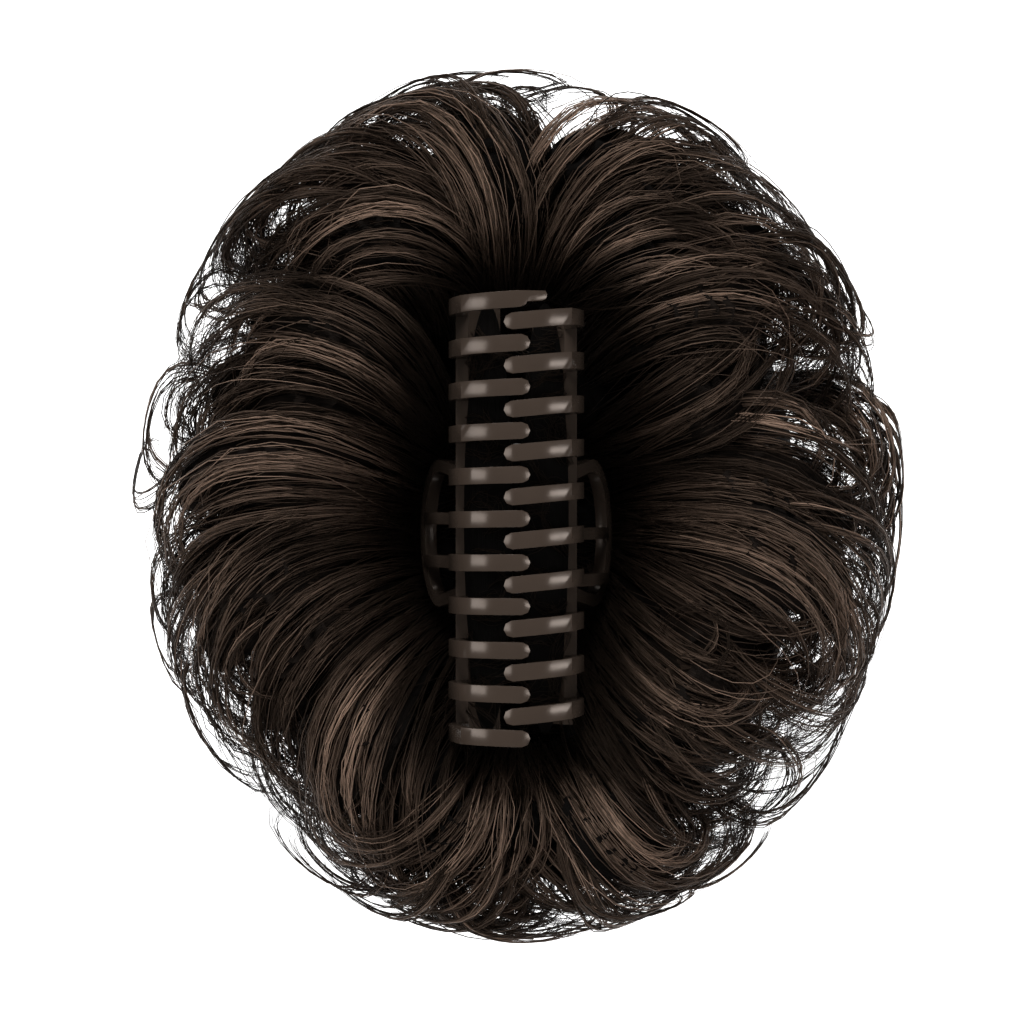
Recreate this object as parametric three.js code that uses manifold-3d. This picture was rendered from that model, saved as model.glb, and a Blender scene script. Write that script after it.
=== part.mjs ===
// A bun of false hair on a claw clip, lying on its hair with the teeth up.
// Millimetres. +Z is up and +Y is the top end of the clip. The origin is on the floor
// under the middle of the outline. The left jaw and its hair are at -X.
import * as THREE from 'three';
import { mergeVertices } from 'three/addons/utils/BufferGeometryUtils.js';
import Module from 'manifold-3d';

const wasm = await Module();
wasm.setup();

// The whole piece
const PIECE_HEIGHT = 60; // floor to the top of the teeth
const HINGE_HEIGHT = 35; // floor to the hinge line
const CLIP_OFF_MIDDLE = { x: -0.6, y: -2.1 }; // middle of the clip from the middle of the outline

// The jaws
const CLAW_LENGTH = 82; // over the outer sides of the end teeth
const JAW_HALF_WIDTH = 11.3; // hinge line to the middle of the wall, sideways
const JAW_THICKNESS = 2.2;
const LEFT_TEETH = 11;
const TOOTH_WIDTH = 3;
const TOOTH_START = 0.3; // where the slots between the teeth begin, as a share of the rise
const LEFT_TIP = 2.5; // how far a tooth's tip passes the middle of the clip
const RIGHT_TIP = 2.3;
const LEFT_SLANT = { top: 4, bottom: -2 }; // degrees, the end teeth of the left jaw
const RIGHT_SLANT = 5.5; // degrees, every tooth of the right jaw
const RIGHT_WALL_PAST = 1; // how far the right jaw's wall passes its end teeth
const END_TIP = { reach: 5.6, step: 0.6, width: 2.1 }; // the long thin tip of the top left tooth

// The jaw's middle line, seen from the end: shares of the half width and of the rise
const JAW_WALL = [
  { across: 0.3, rise: 0.12 },
  { across: 0.84, rise: 0.25 },
  { across: 1, rise: 0.54 },
  { across: 0.8, rise: 0.9 },
];
const JAW_TOP = [
  { across: 0.8, rise: 0.9 },
  { across: 0.5, rise: 0.98 },
  { across: 0, rise: 1 },
  { across: -0.5, rise: 0.93 },
];

// The thumb levers
const LEVER_ROOT = { x: -7.2, z: 4.6 }; // in the wall, from the hinge line
const LEVER_TIP = { x: -18.4, z: -17 };
const LEVER_OFF = -2.8; // middle of both levers from the middle of the clip, along Y
const LEVER_WIDTH = 28;
const LEVER_ROOT_WIDTH = 22;
const LEVER_ROUND = 8; // length of the rounded end
const LEVER_THICKNESS = 2.4; // the lever is an open loop with ribs across it
const RIM_WIDTH = 2.2;
const RIB_THICKNESS = 2.2;
const RIB_WALL_AT = 0.5; // how high up the wall a rib reaches, as a share of the rise
const RIB_LEVER_AT = 0.94; // how far down the lever a rib reaches, as a share of its length
const RIB_DEPTH = 3; // how far a rib stands out between the wall and the lever
const LEFT_RIBS = [0, -8];
const RIGHT_RIBS = [-2.8, -11.4];

// The hinge
const PIN_RADIUS = 1;
const PIN_LENGTH = 28;
const PIN_CLEARANCE = 0.1;
const LUG_RADIUS = 3;
const LUG_WIDTH = 3;
const LEFT_LUG_OFF = 12.2; // middle of a left lug from the middle of the clip
const RIGHT_LUG_OFF = 8.4;
const SPRING_RADIUS = 2.4; // to the middle of the wire
const WIRE_RADIUS = 0.45;
const SPRING_LENGTH = 11;
const SPRING_TURNS = 4;
const SPRING_LEG = { x: 4, z: 7.4 }; // how far each leg reaches from the hinge line, sideways and up

// The hair
const LOCK_LENGTH = 75; // a lock whose reach is 1
const LOCK_SPREAD = 14; // sideways distance of a lock's root whose off is 1
const LOCK_WIDTH = 15; // a lock whose width is 1, at its widest
const LOCK_FLATNESS = 0.5; // height over half width, above the lock's middle line
const LOCK_KEEL = 1.2; // the same below it
const CREST_AT = 0.4; // where along a lock it is highest
const ROOT_HEIGHT = 37;
const WELL_ROOT_HEIGHT = 20; // beside the levers
const END_ROOTS_FROM = 0.55; // share of the claw's half length where the roots begin to rise again
const CORE = { x: 26, width: 68, length: 124, height: 44, middle: 20.6 };
const HAIR_GAP = 0.5; // between the hair and the clip
const WELL_RADIUS = 21.8; // the round space above the levers
const WELL_FLOOR = 14;
const BOWL = { radius: 36, height: 44 }; // how wide the space in the core grows at this height
const PART_ANGLE = 26; // degrees from straight down, each half's side of the gap underneath
const PART_GAP = 0.4;
const PART_TOP = 37; // above this height the halves meet at the parting

// The parting seen from above: at and off are shares of the claw's half length.
// The left hair leans over the right at both ends.
const PARTING = [
  { at: -2.6, off: 0.34 },
  { at: -1.8, off: 0.29 },
  { at: -1.66, off: -0.035 },
  { at: -1, off: -0.01 },
  { at: 1, off: 0.005 },
  { at: 1.72, off: 0.23 },
  { at: 2.6, off: 0.27 },
];

// Each lock starts at the clip and curls away. at and off place its root, heading and turn
// are degrees seen from above, a bias over 1 turns more near the tip, reach and width are
// shares of the lock sizes, crest and tip are heights as shares of the piece's height.
const LOCK_COLUMNS = ['at', 'off', 'heading', 'turn', 'bias', 'reach', 'width', 'crest', 'tip'];
const LEFT_LOCKS = [
  [1.04, -0.03, 75, 175, 1.5, 0.86, 0.95, 0.84, 0.55],
  [1.05, -0.15, 86, 140, 1.5, 0.84, 1.1, 0.88, 0.6],
  [1.07, -0.27, 112, 106, 0.9, 0.87, 1.05, 0.9, 0.55],
  [1.07, -0.4, 125, 145, 1, 0.74, 1, 0.86, 0.5],
  [0.73, -1, 100, 120, 1.1, 0.62, 1, 0.84, 0.45],
  [0.41, -1.09, 112, 120, 1.1, 0.8, 1.1, 0.88, 0.45],
  [0.33, -1.13, 140, 125, 1.4, 0.84, 1.1, 0.86, 0.42],
  [0.1, -1.38, 160, 130, 1.9, 0.88, 1.1, 0.88, 0.42],
  [0, -1.4, 172, 95, 1.3, 0.86, 1, 0.84, 0.4],
  [-0.12, -1.4, 172, 130, 1.1, 0.9, 1.1, 0.88, 0.45],
  [-0.31, -1.2, 190, 105, 1.1, 0.78, 1.1, 0.87, 0.45],
  [-0.51, -0.98, 215, 90, 1.1, 0.76, 1.1, 0.88, 0.45],
  [-0.83, -0.75, 225, 95, 1.1, 0.62, 1.05, 0.84, 0.45],
  [-1.08, -0.36, 250, -50, 1.1, 0.5, 0.9, 0.8, 0.5],
  [-1.27, -0.83, 237, 165, 1.1, 0.62, 0.5, 0.78, 0.72],
  [1.46, -1.1, 172, 200, 3, 0.74, 0.5, 0.8, 0.6],
];
const RIGHT_LOCKS = [
  [1.04, 0.12, 74, -165, 1.7, 0.92, 1, 0.82, 0.5],
  [1.07, 0.38, 62, -120, 1.2, 0.76, 1.1, 0.88, 0.55],
  [1, 0.7, 45, -70, 1.1, 0.5, 1, 0.84, 0.5],
  [0.8, 0.95, 52, -195, 1.5, 1.1, 0.9, 0.9, 0.55],
  [0.7, 0.92, 42, -90, 1.2, 0.74, 1.1, 0.86, 0.45],
  [0.33, 1.08, 20, 30, 1.1, 0.66, 1.05, 0.88, 0.6],
  [0.62, 3.6, -5, -130, 1.1, 0.56, 0.6, 0.6, 0.42],
  [0.11, 1.4, 15, -75, 1.1, 0.8, 1.15, 0.86, 0.42],
  [-0.03, 1.4, 0, -120, 1.6, 0.94, 1.1, 0.88, 0.45],
  [-0.19, 1.3, -45, 45, 1.1, 0.66, 1.1, 0.84, 0.45],
  [-0.42, 1.01, -60, 80, 1.1, 0.68, 1.1, 0.88, 0.45],
  [-0.62, 0.88, -62, 30, 1.1, 0.66, 1.1, 0.84, 0.42],
  [-1.04, 0.58, -62, 140, 2.5, 0.65, 1, 0.86, 0.5],
  [-1.06, 0.11, -78, 65, 1.1, 0.6, 1, 0.82, 0.45],
  [-1.13, -0.09, -85, -40, 1.1, 0.35, 0.9, 0.78, 0.5],
];

// The locks underneath fan out from beside the gap and swirl the same way on both halves
const UNDER_LOCKS = 8;
const UNDER = {
  x: 20, y: 34, fan: 66, turn: 62, reach: 0.57, width: 1.45, above: 0.9, below: 0.5,
  root: 0.16, crest: 0.1, tip: 0.38,
};

const radians = THREE.MathUtils.degToRad;
const { lerp } = THREE.MathUtils;
const clawEnd = CLAW_LENGTH / 2;
const jawRise = PIECE_HEIGHT - HINGE_HEIGHT - JAW_THICKNESS / 2;
const toothPitch = (CLAW_LENGTH - TOOTH_WIDTH) / (LEFT_TEETH - 1);

const plastic = new THREE.MeshStandardMaterial({ color: 0x4a3d35, roughness: 0.25, metalness: 0 });
const steel = new THREE.MeshStandardMaterial({ color: 0xb4b2ae, roughness: 0.35, metalness: 1 });
const hair = new THREE.MeshStandardMaterial({ color: 0x2b211c, roughness: 0.5, metalness: 0 });

// A closed three.js surface as a solid that can be joined and cut
function solidOf(geometry, mergeWithin = 1e-4) {
  const plain = geometry.clone();
  plain.deleteAttribute('normal');
  plain.deleteAttribute('uv');
  const merged = mergeVertices(plain, mergeWithin);
  return new wasm.Manifold(new wasm.Mesh({
    numProp: 3,
    vertProperties: new Float32Array(merged.attributes.position.array),
    triVerts: new Uint32Array(merged.index.array),
  }));
}

function geometryOf(solid) {
  const { vertProperties, triVerts } = solid.getMesh();
  const geometry = new THREE.BufferGeometry();
  geometry.setAttribute('position', new THREE.BufferAttribute(vertProperties, 3));
  geometry.setIndex(new THREE.BufferAttribute(triVerts, 1));
  return geometry;
}

function joined(solids) {
  return solids.reduce((whole, next) => whole.add(next));
}

// A flat outline in X and Z, drawn out along Y
function prism(points, fromY, toY) {
  const outline = new THREE.Shape(points.map((point) => new THREE.Vector2(point.x, point.z)));
  const geometry = new THREE.ExtrudeGeometry(outline, { depth: toY - fromY, bevelEnabled: false });
  geometry.rotateX(Math.PI / 2);
  geometry.translate(0, toY, 0);
  return solidOf(geometry);
}

// A solid with its closest corners merged. Scraps cut loose and sealed pockets are left out.
function largestBody(solid) {
  const bodies = solidOf(geometryOf(solid).toNonIndexed(), 1e-3).decompose();
  const largest = bodies.reduce((best, next) => (next.volume() > best.volume() ? next : best));
  return bodies.length > 1 ? largestBody(largest) : largest;
}

function meshOf(name, solid, material) {
  const geometry = geometryOf(largestBody(solid.translate([CLIP_OFF_MIDDLE.x, CLIP_OFF_MIDDLE.y, 0])));
  geometry.computeVertexNormals();
  const mesh = new THREE.Mesh(geometry, material);
  mesh.name = name;
  return mesh;
}

// The jaw's section seen from the end: its middle line thickened to both sides
function jawSection() {
  const line = (rows, steps) => new THREE.CatmullRomCurve3(rows.map((row) => (
    new THREE.Vector3(-row.across * JAW_HALF_WIDTH, 0, row.rise * jawRise + HINGE_HEIGHT)
  ))).getPoints(steps);
  const middle = [...line(JAW_WALL, 6), ...line(JAW_TOP, 6).slice(1)];
  const outer = [];
  const inner = [];
  middle.forEach((point, i) => {
    const before = middle[Math.max(i - 1, 0)];
    const after = middle[Math.min(i + 1, middle.length - 1)];
    const along = after.clone().sub(before).normalize();
    const across = new THREE.Vector3(-along.z, 0, along.x).multiplyScalar(JAW_THICKNESS / 2);
    outer.push(point.clone().add(across));
    inner.unshift(point.clone().sub(across));
  });
  return [...outer, ...inner];
}

// One tooth seen from above: straight sides and a rounded tip, up through the jaw's section
function toothBlank(y, slant, tip, width, shift) {
  const round = width / 2;
  const root = -(JAW_HALF_WIDTH + JAW_THICKNESS * 1.5);
  const outline = new THREE.Shape();
  outline.moveTo(root, -round);
  outline.lineTo(tip - round, -round);
  outline.absarc(tip - round, 0, round, -Math.PI / 2, Math.PI / 2, false);
  outline.lineTo(root, round);
  const start = HINGE_HEIGHT + TOOTH_START * jawRise;
  const geometry = new THREE.ExtrudeGeometry(outline, {
    depth: PIECE_HEIGHT - start + JAW_THICKNESS, bevelEnabled: false, curveSegments: 2,
  });
  geometry.translate(0, shift, start - JAW_THICKNESS);
  geometry.rotateZ(radians(slant));
  geometry.translate(0, y, 0);
  return solidOf(geometry);
}

// The outline of a thumb lever in its own plane, drawn in from its edge
function leverOutline(inset) {
  const length = Math.hypot(LEVER_TIP.x - LEVER_ROOT.x, LEVER_TIP.z - LEVER_ROOT.z);
  const square = length - LEVER_ROUND;
  const outline = new THREE.Shape();
  outline.moveTo(inset, -LEVER_ROOT_WIDTH / 2 + inset);
  outline.lineTo(square, -LEVER_WIDTH / 2 + inset);
  outline.absellipse(square, 0, LEVER_ROUND - inset, LEVER_WIDTH / 2 - inset,
    -Math.PI / 2, Math.PI / 2, false, 0);
  outline.lineTo(inset, LEVER_ROOT_WIDTH / 2 - inset);
  return outline;
}

// A lever outline thickened from its plane towards the middle of the clip
function leverSlab(outline, thickness, off) {
  const geometry = new THREE.ExtrudeGeometry(outline, {
    depth: thickness, bevelEnabled: false, curveSegments: 8,
  });
  geometry.translate(0, 0, (LEVER_THICKNESS - thickness) / 2);
  const down = new THREE.Vector3(LEVER_TIP.x - LEVER_ROOT.x, 0, LEVER_TIP.z - LEVER_ROOT.z).normalize();
  const wide = new THREE.Vector3(0, 1, 0);
  const turn = new THREE.Matrix4().makeBasis(down, wide, down.clone().cross(wide));
  geometry.applyMatrix4(turn);
  geometry.translate(LEVER_ROOT.x, off, LEVER_ROOT.z + HINGE_HEIGHT);
  return solidOf(geometry);
}

function thumbLever(ribs, off) {
  const rim = leverSlab(leverOutline(0), LEVER_THICKNESS, off)
    .subtract(leverSlab(leverOutline(RIM_WIDTH), LEVER_THICKNESS * 2, off));
  const foot = {
    x: lerp(LEVER_ROOT.x, LEVER_TIP.x, RIB_LEVER_AT), z: lerp(LEVER_ROOT.z, LEVER_TIP.z, RIB_LEVER_AT),
  };
  const rib = [
    LEVER_ROOT, { x: -JAW_HALF_WIDTH, z: jawRise * RIB_WALL_AT },
    { x: -JAW_HALF_WIDTH - RIB_DEPTH, z: LEVER_ROOT.z }, foot,
  ].map((point) => ({ x: point.x, z: point.z + HINGE_HEIGHT }));
  return joined([rim, ...ribs.map((y) => prism(rib, y - RIB_THICKNESS / 2, y + RIB_THICKNESS / 2))]);
}

// A hinge lug: a ring round the pin and a bar that joins it to the wall
function hingeLug(y) {
  const ring = new THREE.Shape();
  ring.absarc(0, 0, LUG_RADIUS, 0, Math.PI * 2, false);
  const hole = new THREE.Path();
  hole.absarc(0, 0, PIN_RADIUS + PIN_CLEARANCE, 0, Math.PI * 2, true);
  ring.holes.push(hole);
  const geometry = new THREE.ExtrudeGeometry(ring, {
    depth: LUG_WIDTH, bevelEnabled: false, curveSegments: 8,
  });
  geometry.rotateX(Math.PI / 2);
  geometry.translate(0, y + LUG_WIDTH / 2, HINGE_HEIGHT);
  const wall = { x: -JAW_WALL[0].across * JAW_HALF_WIDTH, z: JAW_WALL[0].rise * jawRise };
  const long = Math.hypot(wall.x, wall.z);
  const along = { x: wall.x / long, z: wall.z / long };
  const half = LUG_WIDTH / 2;
  const at = (distance, side) => ({
    x: along.x * distance - along.z * side,
    z: along.z * distance + along.x * side + HINGE_HEIGHT,
  });
  const from = (PIN_RADIUS + LUG_RADIUS) / 2;
  const to = long + JAW_THICKNESS / 2;
  const bar = prism([at(from, -half), at(to, -half), at(to, half), at(from, half)], y - half, y + half);
  return solidOf(geometry).add(bar);
}

// A jaw drawn as the left one. The right one is turned half round, so its places swap sign.
function jaw(side) {
  const left = side === 'left';
  const count = left ? LEFT_TEETH : LEFT_TEETH - 1;
  const rightEnd = ((count - 1) * toothPitch + TOOTH_WIDTH) / 2 + RIGHT_WALL_PAST;
  const end = left ? clawEnd : rightEnd;
  const section = prism(jawSection(), -end, end);
  const start = HINGE_HEIGHT + TOOTH_START * jawRise;
  const wall = section.trimByPlane([0, 0, -1], -start);
  const blanks = [];
  for (let i = 0; i < count; i += 1) {
    const y = (i - (count - 1) / 2) * toothPitch;
    const share = i / (count - 1);
    const slant = left ? lerp(LEFT_SLANT.bottom, LEFT_SLANT.top, share) : RIGHT_SLANT;
    const longEnd = left && i === count - 1;
    const tip = left ? LEFT_TIP : RIGHT_TIP;
    blanks.push(toothBlank(y, slant, longEnd ? END_TIP.step + TOOTH_WIDTH / 2 : tip, TOOTH_WIDTH, 0));
    if (longEnd) {
      blanks.push(toothBlank(y, slant, END_TIP.reach, END_TIP.width, (TOOTH_WIDTH - END_TIP.width) / 2));
    }
  }
  const teeth = joined(blanks).intersect(section);
  const lugOff = left ? LEFT_LUG_OFF : RIGHT_LUG_OFF;
  const lever = left ? thumbLever(LEFT_RIBS, LEVER_OFF) : thumbLever(RIGHT_RIBS.map((y) => -y), -LEVER_OFF);
  const whole = joined([wall, teeth, lever, hingeLug(lugOff), hingeLug(-lugOff)]);
  return left ? whole : whole.rotate([0, 0, 180]);
}

function hingePin() {
  const geometry = new THREE.CylinderGeometry(PIN_RADIUS, PIN_RADIUS, PIN_LENGTH, 16);
  geometry.translate(0, 0, HINGE_HEIGHT);
  return solidOf(geometry);
}

// The torsion spring: a coil round the pin with a leg up inside each jaw
function hingeSpring() {
  const points = [new THREE.Vector3(-SPRING_LEG.x, -SPRING_LENGTH / 2, SPRING_LEG.z)];
  const steps = SPRING_TURNS * 8;
  for (let i = 0; i <= steps; i += 1) {
    const share = i / steps;
    const angle = Math.PI / 4 - share * (SPRING_TURNS - 0.25) * Math.PI * 2;
    points.push(new THREE.Vector3(
      Math.cos(angle) * SPRING_RADIUS, (share - 0.5) * SPRING_LENGTH, Math.sin(angle) * SPRING_RADIUS,
    ));
  }
  points.push(new THREE.Vector3(SPRING_LEG.x, SPRING_LENGTH / 2, SPRING_LEG.z));
  const wire = new THREE.Shape();
  wire.absarc(0, 0, WIRE_RADIUS, 0, Math.PI * 2, false);
  const geometry = new THREE.ExtrudeGeometry(wire, {
    steps: steps + 6, curveSegments: 3, extrudePath: new THREE.CatmullRomCurve3(points),
  });
  geometry.translate(0, 0, HINGE_HEIGHT);
  return solidOf(geometry);
}

// A closed skin over rings of points, each ring drawn the same way round
function loft(rings) {
  const count = rings[0].length;
  const position = rings.flat().flatMap((point) => point.toArray());
  const index = [];
  for (let ring = 0; ring < rings.length - 1; ring += 1) {
    for (let i = 0; i < count; i += 1) {
      const a = ring * count + i;
      const b = ring * count + ((i + 1) % count);
      index.push(a, b + count, b, a, a + count, b + count);
    }
  }
  const last = (rings.length - 1) * count;
  for (let i = 1; i < count - 1; i += 1) {
    index.push(0, i, i + 1);
    index.push(last, last + i + 1, last + i);
  }
  const geometry = new THREE.BufferGeometry();
  geometry.setAttribute('position', new THREE.Float32BufferAttribute(position, 3));
  geometry.setIndex(index);
  return solidOf(geometry);
}

// How wide a lock is along its length: narrow at the root, widest past the crest
function lockWidth(share) {
  return Math.sin(Math.PI * (share * 0.62 + 0.2)) * (1 - 0.45 * share ** 4);
}

function lockHeight(lock, share) {
  if (share < CREST_AT) return lerp(lock.root, lock.crest, Math.sin((share / CREST_AT) * Math.PI / 2));
  const past = (share - CREST_AT) / (1 - CREST_AT);
  return lerp(lock.crest, lock.tip, past ** 1.8);
}

// A lock: an oval swept along a path that bends steadily, deeper below than above
function lockSolid(lock) {
  const steps = Math.max(5, Math.round(lock.reach * 8));
  const fine = 8;
  const sides = 7;
  const stride = (lock.reach * LOCK_LENGTH) / (steps * fine);
  const place = new THREE.Vector3(lock.x, lock.y, 0);
  const rings = [];
  for (let i = 0; i <= steps * fine; i += 1) {
    const share = i / (steps * fine);
    const heading = radians(lock.heading + lock.turn * share ** lock.bias);
    if (i % fine === 0) {
      const half = (lockWidth(share) * lock.width * LOCK_WIDTH) / 2;
      const middle = place.clone().setZ(lockHeight(lock, share));
      const across = new THREE.Vector3(Math.sin(heading), -Math.cos(heading), 0);
      rings.push(Array.from({ length: sides }, (_, side) => {
        const angle = (side / sides) * Math.PI * 2;
        const rise = Math.sin(angle) * half * (Math.sin(angle) > 0 ? lock.above : lock.below);
        return middle.clone().addScaledVector(across, Math.cos(angle) * half).setZ(middle.z + rise);
      }));
    }
    place.x += Math.cos(heading) * stride;
    place.y += Math.sin(heading) * stride;
  }
  return loft(rings);
}

function topLock(row) {
  const lock = Object.fromEntries(LOCK_COLUMNS.map((column, i) => [column, row[i]]));
  const sideways = Math.min(Math.abs(lock.off), 1);
  const pastLevers = THREE.MathUtils.clamp((Math.abs(lock.at) - END_ROOTS_FROM) / (1 - END_ROOTS_FROM), 0, 1);
  return lockSolid({
    ...lock,
    above: LOCK_FLATNESS,
    below: LOCK_KEEL,
    x: lock.off * LOCK_SPREAD,
    y: lock.at * clawEnd,
    root: lerp(WELL_ROOT_HEIGHT, ROOT_HEIGHT, Math.max(pastLevers, 1 - sideways)),
    crest: lock.crest * PIECE_HEIGHT,
    tip: lock.tip * PIECE_HEIGHT,
  });
}

function underLock(sign, i) {
  const share = lerp(-1, 1, i / (UNDER_LOCKS - 1));
  const fan = UNDER.fan * share - UNDER.turn / 2;
  return lockSolid({
    x: sign * UNDER.x,
    y: sign * UNDER.y * share,
    heading: fan + (sign > 0 ? 0 : 180),
    turn: UNDER.turn,
    bias: 1.2,
    reach: UNDER.reach,
    width: UNDER.width,
    above: UNDER.above,
    below: UNDER.below,
    root: UNDER.root * PIECE_HEIGHT,
    crest: UNDER.crest * PIECE_HEIGHT,
    tip: UNDER.tip * PIECE_HEIGHT,
  });
}

// Everything on the far side of the parting, seen from above, for the half at this sign
function farSide(sign) {
  const far = CORE.length;
  const shift = (sign * PART_GAP) / 2;
  const line = PARTING.map((row) => new THREE.Vector2(row.off * clawEnd + shift, row.at * clawEnd));
  const top = line[line.length - 1].y;
  const outline = new THREE.Shape([
    ...line, new THREE.Vector2(-sign * far, top), new THREE.Vector2(-sign * far, line[0].y),
  ]);
  const geometry = new THREE.ExtrudeGeometry(outline, { depth: PIECE_HEIGHT * 2, bevelEnabled: false });
  geometry.translate(0, 0, -PIECE_HEIGHT / 2);
  return solidOf(geometry);
}

// The room under the hinge that this half keeps clear, so that the jaws can open
function underGap(sign) {
  const deep = HINGE_HEIGHT * 1.3;
  const low = Math.tan(radians(PART_ANGLE)) * deep * sign;
  return prism([
    { x: 0, z: HINGE_HEIGHT }, { x: 0, z: PART_TOP },
    { x: -sign * CORE.length, z: PART_TOP }, { x: -sign * CORE.length, z: HINGE_HEIGHT - deep },
    { x: low, z: HINGE_HEIGHT - deep },
  ], -CORE.length, CORE.length);
}

// The room of the clip itself, and the round well above its levers
function clipSpace() {
  const wide = JAW_HALF_WIDTH + JAW_THICKNESS / 2 + HAIR_GAP;
  const low = HINGE_HEIGHT - LUG_RADIUS - HAIR_GAP;
  const side = [
    { x: LUG_RADIUS + HAIR_GAP, z: low }, { x: wide, z: HINGE_HEIGHT + jawRise * 0.3 },
    { x: wide, z: PIECE_HEIGHT * 1.2 },
  ];
  const mirrored = side.map((point) => ({ x: -point.x, z: point.z })).reverse();
  const claw = prism([...side, ...mirrored], -clawEnd - HAIR_GAP, clawEnd + HAIR_GAP);
  const well = new THREE.CylinderGeometry(WELL_RADIUS, WELL_RADIUS, PIECE_HEIGHT, 20);
  well.rotateX(Math.PI / 2);
  well.translate(0, LEVER_OFF, WELL_FLOOR + PIECE_HEIGHT / 2);
  return claw.add(solidOf(well));
}

function hairHalf(sign, rows) {
  const ball = new THREE.SphereGeometry(1, 15, 9);
  ball.scale(CORE.width / 2, CORE.length / 2, CORE.height / 2);
  ball.translate(sign * CORE.x, 0, CORE.middle);
  const bowl = new THREE.CylinderGeometry(BOWL.radius, WELL_RADIUS, BOWL.height - WELL_FLOOR, 16);
  bowl.rotateX(Math.PI / 2);
  bowl.translate(0, LEVER_OFF, (BOWL.height + WELL_FLOOR) / 2);
  const under = Array.from({ length: UNDER_LOCKS }, (_, i) => underLock(sign, i));
  return joined([solidOf(ball).subtract(solidOf(bowl)), ...rows.map(topLock), ...under])
    .subtract(clipSpace())
    .subtract(farSide(sign))
    .subtract(underGap(sign))
    .trimByPlane([0, 0, 1], 0);
}

const part = new THREE.Group();
part.name = 'hair_extension';
part.add(
  meshOf('jaw_left', jaw('left'), plastic.clone()),
  meshOf('jaw_right', jaw('right'), plastic.clone()),
  meshOf('hinge_pin', hingePin(), steel.clone()),
  meshOf('hinge_spring', hingeSpring(), steel.clone()),
  meshOf('hair_left', hairHalf(-1, LEFT_LOCKS), hair.clone()),
  meshOf('hair_right', hairHalf(1, RIGHT_LOCKS), hair.clone()),
);

export default part;
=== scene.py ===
"""A bun of false hair on a claw clip: its moulded jaws, its locks and its loose strands."""

import math

import bpy
import numpy as np
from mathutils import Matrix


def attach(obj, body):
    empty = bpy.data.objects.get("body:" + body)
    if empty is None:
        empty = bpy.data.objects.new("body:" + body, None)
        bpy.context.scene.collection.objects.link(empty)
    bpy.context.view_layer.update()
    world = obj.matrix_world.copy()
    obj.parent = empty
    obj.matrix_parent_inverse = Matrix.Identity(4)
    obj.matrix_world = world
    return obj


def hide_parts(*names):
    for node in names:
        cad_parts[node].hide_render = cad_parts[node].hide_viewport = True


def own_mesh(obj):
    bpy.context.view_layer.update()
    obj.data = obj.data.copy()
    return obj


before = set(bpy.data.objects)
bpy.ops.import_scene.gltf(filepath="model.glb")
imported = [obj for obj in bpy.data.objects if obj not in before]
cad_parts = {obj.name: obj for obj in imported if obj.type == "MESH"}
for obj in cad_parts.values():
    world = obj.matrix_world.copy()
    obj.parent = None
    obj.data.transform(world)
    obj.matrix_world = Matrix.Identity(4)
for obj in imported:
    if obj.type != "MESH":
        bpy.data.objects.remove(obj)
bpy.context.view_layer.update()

bl_info = {
    "name": "Clip-on hair bun",
    "version": (1, 0),
    "blender": (4, 5, 0),
    "location": "3D View > Sidebar > Hair bun",
    "description": "Builds the jaws, hinge, locks and loose strands of a clip-on hair bun",
    "category": "Object",
}

MM = 0.001

# The clip's middle in the frame, and the shares that place a lock against it
CLIP_X = -0.6
CLIP_Y = -2.1
CLAW_END = 41.0
CLAW_SIDE = 12.4
HINGE_HEIGHT = 35.0
PIECE_HEIGHT = 60.0
LOCK_LENGTH = 75.0
LOCK_SPREAD = 14.0
LOCK_WIDTH = 15.0
CREST_AT = 0.4
CURL_FROM = 0.45
# Every other lock lies this much above or below its height in the table
RAISED = 2.0

# The height of the roots beside the levers and elsewhere, and the round space over the levers
WELL_ROOT_HEIGHT = 17.0
ROOT_HEIGHT = 36.0
END_ROOTS_FROM = 0.55
WELL = {"y": -2.8, "radius": 20.2, "floor": 10.0, "slope": 2.2}

# Each lock starts at the clip and curls away. at and off place its root, heading and turn are
# degrees seen from above, a bias over 1 turns more near the tip, reach and width are shares of
# the lock sizes, crest and tip are heights as shares of the piece's height.
LOCK_COLUMNS = ("at", "off", "heading", "turn", "bias", "reach", "width", "crest", "tip")
LEFT_LOCKS = (
    (1.04, -0.03, 75, 175, 1.5, 0.86, 0.95, 0.84, 0.55),
    (1.05, -0.15, 86, 140, 1.5, 0.84, 1.1, 0.88, 0.6),
    (1.07, -0.27, 112, 106, 0.9, 0.87, 1.05, 0.9, 0.55),
    (1.07, -0.4, 125, 145, 1, 0.74, 1, 0.86, 0.5),
    (0.73, -1, 100, 120, 1.1, 0.62, 1, 0.84, 0.45),
    (0.41, -1.09, 112, 120, 1.1, 0.8, 1.1, 0.88, 0.45),
    (0.33, -1.13, 140, 125, 1.4, 0.84, 1.1, 0.86, 0.42),
    (0.1, -1.38, 160, 130, 1.9, 0.88, 1.1, 0.88, 0.42),
    (0, -1.4, 172, 95, 1.3, 0.86, 1, 0.84, 0.4),
    (-0.12, -1.4, 172, 130, 1.1, 0.9, 1.1, 0.88, 0.45),
    (-0.31, -1.2, 190, 105, 1.1, 0.78, 1.1, 0.87, 0.45),
    (-0.51, -0.98, 215, 90, 1.1, 0.76, 1.1, 0.88, 0.45),
    (-0.83, -0.75, 225, 95, 1.1, 0.62, 1.05, 0.84, 0.45),
    (-1.08, -0.36, 250, -50, 1.1, 0.5, 0.9, 0.8, 0.5),
    (-1.27, -0.83, 237, 165, 1.1, 0.62, 0.5, 0.78, 0.72),
    (1.46, -1.1, 172, 200, 3, 0.74, 0.5, 0.8, 0.6),
)
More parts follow.
